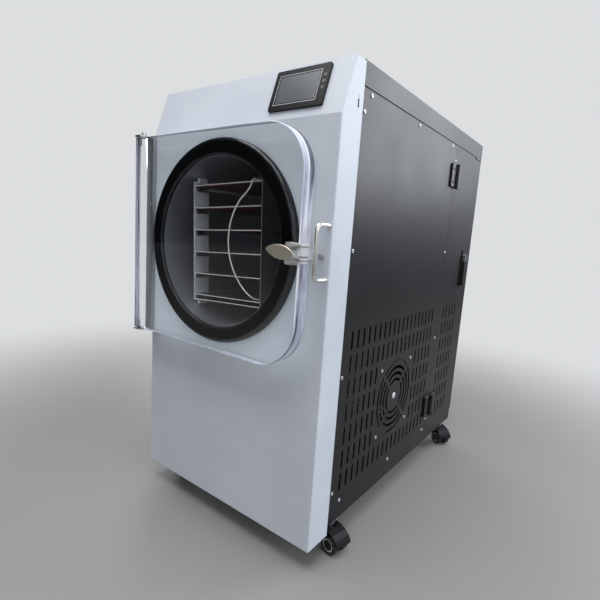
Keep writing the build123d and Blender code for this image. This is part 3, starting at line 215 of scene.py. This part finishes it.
finish = {
    # sheet metal: soft pale grey-blue on the fascia, near black on the body
    "greyPowder": powderCoat("greyPowderCoat", powderCoats["fascia"]),
    "blackPowder": powderCoat("blackPowderCoat", powderCoats["body"]),
    # stainless: grained where rolled, whitish where blasted, bright where turned or buffed, and paler on the
    # left upright as painted light
    "satin": satinStainless("satinStainless"),
    # painted light: the left upright gets a paler, lavender, half-diffuse steel so that it looks lit through
    # the door
    "paintedLitUpright": satinStainless("paintedLightLeftUprightStainless", "CFCEDC", (1, 1, 2), 0.5, 0.62, 0.45),
    "shelfSteel": satinStainless("brushedShelfStainless", "A9A8A5", (14, 1, 1), 0.22, 0.36),
    # the shelves' forward faces: paler and warmer than the shelf tops
    "sheetEdge": satinStainless("paleShelfFrontEdge", "E9E3D8", (1, 1, 1), 0.24, 0.34, 0.35),
    "latchSteel": satinStainless("castLatchStainless", "E2D2BA", (1, 1, 4), 0.44, 0.54),
    "turnedSteel": satinStainless("turnedBrightStainless", "E6E7EC", (1, 1, 1), 0.24, 0.34, 0.45),
    "baseSteel": satinStainless("blastedBaseStainless", "CBCAC7", (1, 1, 2), 0.4, 0.5, 0.45),
    "keeperSteel": satinStainless("buffedKeeperStainless", "DEDBD3", (1, 1, 6), 0.12, 0.2, 0.75),
    "drumSteel": satinStainless("rolledDrumStainless", "A8A7B6", (14, 1, 1), 0.24, 0.38, 0.88),
    "zinc": zincPlate("brightZincPlate"),
    # rubber, nylon and polyurethane: black with soft highlights, duller from rubber to nylon
    "sealRubber": mouldedRubber("mouldedSealRubber", "08080A", "101013", 0.1, 0.2),
    "stopRubber": mouldedRubber("greyStopRubber", "85868A", "96979B", 0.35, 0.5),
    "nylon": grainedNylon("grainedBlackNylon"),
    "tyre": mouldedRubber("polyurethaneTyre", "101012", "1C1C1E", 0.2, 0.34),
    # the clear door: its faces vanish, and its edge carries painted highlight streaks
    "acrylic": clearAcrylic("clearCastAcrylic"),
    "acrylicEdgeHighlight": acrylicEdgeHighlight("paintedHighlightAcrylicEdge"),
    # small plain surfaces: flat tones that read from far
    "display": evenSurface("unlitDisplayGlass", "565A5D", "62666A", 60, 0.2, 0.3, 0.02),
    "frameLine": evenSurface("printedFrameLine", "DCDEE1", "E8EAEC", 8, 0.3, 0.4, 0.02),
    "lampLens": evenSurface("paleLampLens", "B9BCC0", "D0D3D6", 3, 0.2, 0.3, 0.02),
    "rimPlastic": evenSurface("silveredRimPlastic", "D0D2D4", "E4E5E6", 6, 0.18, 0.3, 0.02),
    # painted shade: a dark tone laid into gaps between parts
    "shadowLine": evenSurface("paintedShadowGap", "1C1C1E", "2A2A2D", 3, 0.4, 0.5, 0.02),
    "heaterMat": evenSurface("siliconeHeaterMat", "43110B", "551810", 4, 0.4, 0.55),
    "leadSilicone": evenSurface("whiteSiliconeLead", "BDBCB8", "CFCECA", 3, 0.35, 0.5),
    "foam": evenSurface("closedCellFoam", "0D0D0E", "19191A", 2, 0.8, 0.95, 0.4),
    "copper": evenSurface("drawnCopperTube", "A5633F", "C98A60", 12, 0.2, 0.4, Metallic=1.0),
    "pumpEnamel": evenSurface("hammeredPumpEnamel", "1A2232", "242E40", 5, 0.3, 0.45, 0.3),
    "bellows": evenSurface("corrugatedStainlessHose", "A4A4A2", "C6C6C3", 5, 0.2, 0.35, Metallic=1.0),
}
print("materials made:", len(finish))

nodeFinish = {
    "front_fascia": "greyPowder",
    "door_gasket": "sealRubber", "claw_stop": "stopRubber", "insulation_jacket": "foam",
    "door_panel": "acrylic", "screen_glass": "display", "heater_mats": "heaterMat",
    "probe_lead": "leadSilicone", "drain_pipe": "leadSilicone", "refrigerant_lines": "copper",
    "vacuum_pump": "pumpEnamel", "vacuum_hose": "bellows", "chamber_drum": "drumSteel",
    "rack_uprights": "satin", "rack_shelves": "shelfSteel", "probe_fittings": "satin",
    "door_hinge_strip": "satin", "door_hinge_fittings": "satin", "latch_base": "baseSteel",
    "latch_pin": "turnedSteel", "latch_lever": "latchSteel", "keeper_bar": "keeperSteel",
    "access_hinge_leaves_fixed": "nylon", "access_hinge_leaves_moving": "nylon", "lock_base": "nylon",
    "lock_lever": "nylon", "screen_housing": "nylon", "data_port": "nylon", "fan_frame": "nylon",
    "fan_impeller": "nylon", "power_inlet": "nylon", "rocker_key": "nylon",
    "lock_spindle": "zinc", "rack_screws": "zinc", "side_screws": "zinc", "condenser_coil": "zinc",
    "control_tray": "zinc", "drain_valve": "zinc", "caster_plates": "zinc",
}
casterFinish = {"caster_fork": "zinc", "caster_wheel": "tyre", "caster_pedal": "nylon"}
for nodeName, cadObject in nodes.items():
    key = nodeFinish.get(nodeName, "blackPowder")
    for start, casterKey in casterFinish.items():
        if nodeName.startswith(start):
            key = casterKey
    cadObject.data.materials.clear()
    cadObject.data.materials.append(finish[key])
print("finishes given to the nodes")


def splitFaces(nodeName, key, chosen):
    # the faces that chosen() picks take a second finish
    mesh = nodes[nodeName].data
    mesh.materials.append(finish[key])
    slotNumber = len(mesh.materials) - 1
    for face in mesh.polygons:
        if chosen(face.center, face.normal):
            face.material_index = slotNumber


doorOutline = dict(corner=100.0, reach=2.2, faceNormal=0.9)


def onSheetEdge(centre, normal):
    # on the clear door's outline, and not on its faces or in a pin's bore
    low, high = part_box("door_panel")
    corner, reach = doorOutline["corner"] * mm, doorOutline["reach"] * mm
    if abs(normal.y) > doorOutline["faceNormal"]:
        return False
    dx = centre.x - (high[0] - corner)
    dz = max(low[2] + corner - centre.z, centre.z - (high[2] - corner))
    if dx > 0 and dz > 0:
        return abs(hypot(dx, dz) - corner) < reach
    return min(centre.x - low[0], high[0] - centre.x, centre.z - low[2], high[2] - centre.z) < reach


sleeveRadius = 11.3


def onSleeve(centre, normal):
    # on the latch's turned sleeve and claw, and not on its paddle
    return centre.x > joints["latch_turn"]["pos_m"][0] - sleeveRadius * mm


def onShelfFront(centre, normal):
    # the shelves' faces that look forward, which take a paler, warmer steel than the shelf tops
    return normal.y < -0.7


def onLeftUpright(centre, normal):
    # left of the rack's middle, where the upright is painted paler as if lit
    low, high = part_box("rack_uprights")
    return centre.x < (low[0] + high[0]) / 2


splitFaces("door_panel", "acrylicEdgeHighlight", onSheetEdge)
splitFaces("latch_lever", "turnedSteel", onSleeve)
splitFaces("rack_shelves", "sheetEdge", onShelfFront)
splitFaces("rack_uprights", "paintedLitUpright", onLeftUpright)
print("second finishes given to the edges")

leaningFace = dict(back=39.0, rise=117.0)


def slopeFrame():
    # across, up and out of the leaning face that carries the screen
    lean = atan(leaningFace["back"] / leaningFace["rise"])
    return Vector((1, 0, 0)), Vector((0, sin(lean), cos(lean))), Vector((0, -cos(lean), sin(lean)))


def boxMiddle(nodeName):
    low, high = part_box(nodeName)
    return (Vector(low) + Vector(high)) / 2


def newPiece(name, mesh, key, body, smooth=True):
    piece = bpy.data.objects.new(name, mesh)
    bpy.context.scene.collection.objects.link(piece)
    mesh.materials.append(finish[key])
    for face in mesh.polygons:
        face.use_smooth = smooth
    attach(piece, body)
    return piece


def latheInto(work, centre, across, up, out, profile, steps):
    # turns (radius, height) points, in millimetres, about the out axis at centre
    rows = []
    for radius, height in profile:
        row = []
        for i in range(steps):
            turn = 2 * pi * i / steps
            side = across * cos(turn) + up * sin(turn)
            row.append(work.verts.new(centre + side * radius * mm + out * height * mm))
        rows.append(row)
    for lower, upper in zip(rows, rows[1:]):
        for i in range(steps):
            j = (i + 1) % steps
            work.faces.new((lower[i], lower[j], upper[j], upper[i]))
    return rows


def finishMesh(work, name):
    bmesh.ops.recalc_face_normals(work, faces=work.faces)
    mesh = bpy.data.meshes.new(name)
    work.to_mesh(mesh)
    work.free()
    return mesh


def closedRing(radius, thick, steps=12):
    # a ring's section for latheInto, closed on itself
    turns = [2 * pi * i / steps for i in range(steps + 1)]
    return [(radius + thick * cos(turn), thick * sin(turn)) for turn in turns]


display = dict(width=104.0, height=62.0, glassHalf=0.3, outset=3.8, aside=-1.0, line=0.9, raised=0.16,
               lampAcross=65.0, lampUps=(20.0, 6.0, -8.0), lampRing=2.7, lampWire=0.42, lampSteps=24)


def addDisplayTrim():
    across, up, out = slopeFrame()
    middle = boxMiddle("screen_glass") + out * display["glassHalf"] * mm
    framed = middle + across * display["aside"] * mm
    halfWide = display["width"] / 2 + display["outset"]
    halfHigh = display["height"] / 2 + display["outset"]
    line, raised = display["line"], display["raised"]
    work = bmesh.new()
    loops = []
    for grow, rise in ((0, 0), (0, raised), (-line, raised), (-line, 0)):
        loops.append([work.verts.new(framed + across * i * (halfWide + grow) * mm
                                     + up * j * (halfHigh + grow) * mm + out * rise * mm)
                      for i, j in ((-1, -1), (1, -1), (1, 1), (-1, 1))])
    for first, second in zip(loops, loops[1:]):
        for i in range(4):
            j = (i + 1) % 4
            work.faces.new((first[i], first[j], second[j], second[i]))
    newPiece("displayFrameLine", finishMesh(work, "displayFrameLine"), "frameLine", "cabinet",
             False)
    work = bmesh.new()
    for rise in display["lampUps"]:
        centre = middle + across * display["lampAcross"] * mm + up * rise * mm
        section = closedRing(display["lampRing"], display["lampWire"])
        latheInto(work, centre, across, up, out, section, display["lampSteps"])
    newPiece("lampRings", finishMesh(work, "lampRings"), "lampLens", "cabinet")


def islands(nodeName):
    # the middle and size of each loose solid of a node, in an order that is the same each run
    work = bmesh.new()
    work.from_mesh(nodes[nodeName].data)
    bmesh.ops.remove_doubles(work, verts=work.verts, dist=1e-6)
    left, found = set(work.verts), []
    while left:
        group, queue = [], [left.pop()]
        while queue:
            vertex = queue.pop()
            group.append(vertex.co.copy())
            for edge in vertex.link_edges:
                other = edge.other_vert(vertex)
                if other in left:
                    left.remove(other)
                    queue.append(other)
        low = Vector([min(p[k] for p in group) for k in range(3)])
        high = Vector([max(p[k] for p in group) for k in range(3)])
        found.append(((low + high) / 2, high - low))
    work.free()
    return sorted(found, key=lambda island: tuple(island[0]))


screwHead = dict(radius=5.0, height=2.2, steps=48,
                 profile=((5.0, 0.0), (5.0, 0.9), (4.7, 1.5), (4.0, 1.95), (3.0, 2.15), (2.2, 2.2),
                          (1.5, 2.2), (0.8, 2.2), (0.01, 2.2)),
                 arm=0.62, armReach=2.9, deep=1.3, flatFrom=3)


def addScrews():
    # pan heads with a cross recess
    work = bmesh.new()
    across, up = Vector((0, 1, 0)), Vector((0, 0, 1))
    for middle, size in islands("side_screws"):
        out = Vector((1 if middle.x > 0 else -1, 0, 0))
        scale = max(size.y, size.z) / 2 / mm / screwHead["radius"]
        stretch = size.x / mm / screwHead["height"]
        foot = middle - out * size.x / 2
        profile = [(radius * scale, height * stretch) for radius, height in screwHead["profile"]]
        rows = latheInto(work, foot, across, up, out, profile, screwHead["steps"])
        for row in rows[screwHead["flatFrom"]:]:
            for vertex in row:
                away = (vertex.co - foot) / mm
                inArm = min(abs(away.y), abs(away.z)) < screwHead["arm"]
                if inArm and hypot(away.y, away.z) < screwHead["armReach"] * scale:
                    vertex.co -= out * screwHead["deep"] * scale * mm
    piece = newPiece("crossHeadScrews", finishMesh(work, "crossHeadScrews"), "zinc", "cabinet")
    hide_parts("side_screws")


wheelTrim = dict(face=24.0, inset=0.6, radius=14.6, thick=2.1, steps=48)


def addWheelTrims():
    # a bright ring let into each wheel's outer face
    for joint in joints.values():
        if not joint["name"].startswith("caster_roll"):
            continue
        wheel = joint["child"]
        axis = Vector(joint["axis"]).normalized()
        up = Vector((0, 0, 1))
        across = up.cross(axis)
        outward = wheelTrim["face"] - wheelTrim["thick"] - wheelTrim["inset"]
        section = closedRing(wheelTrim["radius"], wheelTrim["thick"])
        work = bmesh.new()
        for side in (-1, 1):
            centre = Vector(joint["pos_m"]) + axis * side * outward * mm
            latheInto(work, centre, across, up, axis * side, section, wheelTrim["steps"])
        newPiece("rimRing_" + wheel, finishMesh(work, "rimRing"), "rimPlastic", wheel)


grilleBoss = dict(profile=((9.5, 0.0), (9.4, 0.7), (8.5, 1.3), (6.2, 1.8), (3.0, 2.1), (0.01, 2.1)), steps=40)


def addGrilleBoss():
    # bright domed rivet in the middle of the fan's grille
    hub = boxMiddle("fan_impeller")
    middle = Vector((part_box("side_panel_right")[1][0], hub.y, hub.z))
    work = bmesh.new()
    latheInto(work, middle, Vector((0, 1, 0)), Vector((0, 0, 1)), Vector((1, 0, 0)), grilleBoss["profile"],
              grilleBoss["steps"])
    newPiece("grilleRivet", finishMesh(work, "grilleRivet"), "turnedSteel", "cabinet")


latchGapShade = dict(inner=9.0, outer=12.5, half=0.6, heights=(-13.5, -5.9, 13.5), steps=40)


def addLatchGapShade():
    # dark thin rings laid in the gaps between the latch's ears and its sleeve, and at the bottom of its
    # groove: painted shade
    axis = Vector(joints["latch_turn"]["pos_m"])
    inner, outer, half = latchGapShade["inner"], latchGapShade["outer"], latchGapShade["half"]
    section = ((inner, -half), (outer, -half), (outer, half), (inner, half), (inner, -half))
    across, forward, up = Vector((1, 0, 0)), Vector((0, 1, 0)), Vector((0, 0, 1))
    work = bmesh.new()
    for height in latchGapShade["heights"]:
        latheInto(work, axis + up * height * mm, across, forward, up, section, latchGapShade["steps"])
    bmesh.ops.remove_doubles(work, verts=work.verts, dist=1e-6)
    newPiece("latchGapShadeRings", finishMesh(work, "latchGapShadeRings"), "shadowLine", "latch_lever", False)


addDisplayTrim()
addLatchGapShade()
addGrilleBoss()
addScrews()
addWheelTrims()
print("small pieces added")

viewpoint = dict(place=(0.7612, -1.2121, 0.7727), azimuth=36.5, elevation=8.9, roll=3.9, lens=25.9)


def setCamera():
    camera = bpy.data.objects.new("camera", bpy.data.cameras.new("camera"))
    bpy.context.scene.collection.objects.link(camera)
    camera.data.lens = viewpoint["lens"]
    camera.data.clip_start = 0.05
    camera.matrix_world = (Matrix.Translation(viewpoint["place"])
                           @ Matrix.Rotation(radians(viewpoint["azimuth"]), 4, "Z")
                           @ Matrix.Rotation(radians(90 - viewpoint["elevation"]), 4, "X")
                           @ Matrix.Rotation(radians(viewpoint["roll"]), 4, "Z"))
    bpy.context.scene.camera = camera


def addLamp(name, place, target, size, power, colour="FFFFFF"):
    lamp = bpy.data.lights.new(name, "AREA")
    lamp.shape = "RECTANGLE"
    lamp.size, lamp.size_y = size
    lamp.energy = power
    lamp.color = hexLinear(colour)[:3]
    holder = bpy.data.objects.new(name, lamp)
    bpy.context.scene.collection.objects.link(holder)
    holder.location = place
    holder.visible_camera = False
    holder.rotation_euler = (Vector(target) - Vector(place)).to_track_quat("-Z", "Y").to_euler()


lamps = {
    "rightWindow": dict(place=(3.4, -0.9, 1.9), target=(0.25, -0.2, 0.7), size=(1.6, 1.8), power=30,
                        colour="EEF4FF"),
    "backWindow": dict(place=(2.5, 3.2, 2.25), target=(0.3, 0.2, 1.0), size=(2.2, 2.1), power=98,
                       colour="F4F8FF"),
    "frontSky": dict(place=(1.5, -3.3, 1.9), target=(0.0, -0.4, 0.7), size=(3.0, 2.6), power=25,
                     colour="FFFEFA"),
    "rearFill": dict(place=(-3.0, 2.8, 2.1), target=(-0.2, 0.3, 0.6), size=(2.6, 2.4), power=70,
                     colour="F6F9FF"),
    "ceiling": dict(place=(0.0, -1.0, 3.6), target=(0.0, -0.3, 0.8), size=(3.4, 2.2), power=108,
                    colour="FFFFFF"),
}
# the room's light comes mostly from above, the right and the back; dull to bright, by share of that direction
surround = dict(towards=(0.38, 0.2, 0.42), middle=0.42,
                tones=((0.0, "2E3033"), (0.45, "7C8087"), (0.8, "E8EEF8")))
backdrop = dict(shown="DCDEE0", strength=0.62, floor="8D8C89", fadeFrom=0.9, fadeTo=2.5, reach=14.0)


def seenRays(tree):
    # rays that show the backdrop as it is: straight from the camera, or through clear sheet
    path = addNode(tree, "ShaderNodeLightPath")
    straight = addNode(tree, "ShaderNodeMath", {"operation": "LESS_THAN", 1: 0.5},
                       {0: path.outputs["Glossy Depth"]})
    through = addNode(tree, "ShaderNodeMath", {"operation": "MULTIPLY"},
                      {0: path.outputs["Is Transmission Ray"], 1: straight.outputs[0]})
    seen = addNode(tree, "ShaderNodeMath", {"operation": "MAXIMUM"},
                   {0: path.outputs["Is Camera Ray"], 1: through.outputs[0]})
    return seen.outputs[0]


def setWorld():
    world = bpy.data.worlds.new("paleRoom")
    bpy.context.scene.world = world
    world.use_nodes = True
    tree = world.node_tree
    output = tree.nodes["World Output"]
    lighting = tree.nodes["Background"]
    lighting.inputs["Strength"].default_value = backdrop["strength"]
    direction = addNode(tree, "ShaderNodeTexCoord").outputs["Generated"]
    facing = addNode(tree, "ShaderNodeVectorMath", {"operation": "DOT_PRODUCT", 1: surround["towards"]},
                     {0: direction})
    share = addNode(tree, "ShaderNodeMath", {"operation": "ADD", 1: surround["middle"]},
                    {0: facing.outputs["Value"]})
    ramp = addNode(tree, "ShaderNodeValToRGB", links={"Fac": share.outputs[0]})
    while len(ramp.color_ramp.elements) < len(surround["tones"]):
        ramp.color_ramp.elements.new(0.5)
    for element, (position, code) in zip(ramp.color_ramp.elements, surround["tones"]):
        element.position, element.color = position, hexLinear(code)
    tree.links.new(ramp.outputs["Color"], lighting.inputs["Color"])
    shown = addNode(tree, "ShaderNodeBackground", {"Color": hexLinear(backdrop["shown"]), "Strength": 1.0})
    seen = seenRays(tree)
    mixed = addNode(tree, "ShaderNodeMixShader", links={0: seen, 1: lighting.outputs[0], 2: shown.outputs[0]})
    tree.links.new(mixed.outputs[0], output.inputs["Surface"])


def addFloor():
    # it keeps the shadow near the machine, and away from it turns into the backdrop's plain tone
    mesh = bpy.data.meshes.new("floor")
    reach = backdrop["reach"]
    corners = [(-reach, -reach, 0), (reach, -reach, 0), (reach, reach, 0), (-reach, reach, 0)]
    mesh.from_pydata(corners, [], [(0, 1, 2, 3)])
    floor = bpy.data.objects.new("floor", mesh)
    bpy.context.scene.collection.objects.link(floor)
    material, tree, shader, coords = startMaterial("paleFloor", Roughness=0.5, Specular_IOR_Level=0.3)
    shader.inputs["Base Color"].default_value = hexLinear(backdrop["floor"])
    away = addNode(tree, "ShaderNodeVectorMath", {"operation": "LENGTH"}, {0: coords})
    fade = addNode(tree, "ShaderNodeMapRange",
                   {"interpolation_type": "SMOOTHSTEP", "From Min": backdrop["fadeFrom"],
                    "From Max": backdrop["fadeTo"]}, {"Value": away.outputs["Value"]})
    plain = addNode(tree, "ShaderNodeEmission", {"Color": hexLinear(backdrop["shown"]), "Strength": 1.0})
    seen = seenRays(tree)
    share = addNode(tree, "ShaderNodeMath", {"operation": "MULTIPLY"}, {0: fade.outputs["Result"], 1: seen})
    mixed = addNode(tree, "ShaderNodeMixShader",
                    links={0: share.outputs[0], 1: shader.outputs[0], 2: plain.outputs[0]})
    tree.links.new(mixed.outputs[0], tree.nodes["Material Output"].inputs["Surface"])
    mesh.materials.append(material)


setCamera()
for lampName, facts in lamps.items():
    addLamp(lampName, **facts)
setWorld()
addFloor()
bpy.context.scene.view_settings.view_transform = "Standard"
print("camera, lamps and floor set")
